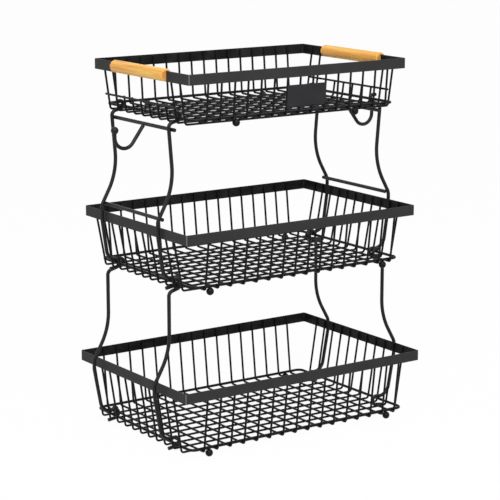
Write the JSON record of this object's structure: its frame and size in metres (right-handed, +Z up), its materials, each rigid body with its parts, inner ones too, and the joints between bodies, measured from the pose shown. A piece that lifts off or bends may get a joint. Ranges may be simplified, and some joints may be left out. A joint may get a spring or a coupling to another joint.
{
  "type": "tiered wire basket",
  "caption": "Free-standing rack of wire baskets that get smaller towards the top, held apart by bent wire legs, with wooden handles and open side hooks.",
  "frame": {"origin": "on the floor under the middle of the rack, at the centre of its bounding box's underside", "axes": "+Z up, +X to the right along the long side, -Y to the front, where the blank plate is"},
  "size_m": [0.4382, 0.2712, 0.5089],
  "materials": {
    "band_coating": "satin black powder coat",
    "wire_coating": "satin black powder coat",
    "frame_coating": "satin black powder coat",
    "handle_wood": "clear satin varnish"
  },
  "bodies": {
    "root": {"bottom_rim_band": "band_coating", "bottom_base_ring": "wire_coating", "bottom_front_back_wires": "wire_coating", "bottom_side_side_wires": "wire_coating", "bottom_foot_front_left": "wire_coating", "bottom_foot_front_right": "wire_coating", "bottom_foot_back_left": "wire_coating", "bottom_foot_back_right": "wire_coating", "middle_rim_band": "band_coating", "middle_base_ring": "wire_coating", "middle_front_back_wires": "wire_coating", "middle_side_side_wires": "wire_coating", "middle_foot_front_left": "wire_coating", "middle_foot_front_right": "wire_coating", "middle_foot_back_left": "wire_coating", "middle_foot_back_right": "wire_coating", "top_rim_band": "band_coating", "top_base_ring": "wire_coating", "top_front_back_wires": "wire_coating", "top_side_side_wires_front": "wire_coating", "top_side_side_wires_back": "wire_coating", "top_side_side_short_wires": "wire_coating", "top_grip_wire_left": "wire_coating", "top_grip_wire_right": "wire_coating", "top_blank_plate": "band_coating", "handle_left": "handle_wood", "handle_right": "handle_wood", "top_foot_front_left": "wire_coating", "top_foot_front_right": "wire_coating", "top_foot_back_left": "wire_coating", "top_foot_back_right": "wire_coating", "upper_leg_front_left": "frame_coating", "upper_leg_front_right": "frame_coating", "upper_leg_back_left": "frame_coating", "upper_leg_back_right": "frame_coating", "upper_crossbar_left": "frame_coating", "upper_crossbar_right": "frame_coating", "lower_leg_front_left": "frame_coating", "lower_leg_front_right": "frame_coating", "lower_leg_back_left": "frame_coating", "lower_leg_back_right": "frame_coating", "lower_crossbar_left": "frame_coating", "lower_crossbar_right": "frame_coating", "side_hook_left": "frame_coating", "side_hook_ball_left": "frame_coating", "side_hook_right": "frame_coating", "side_hook_ball_right": "frame_coating"}
  },
  "joints": []
}
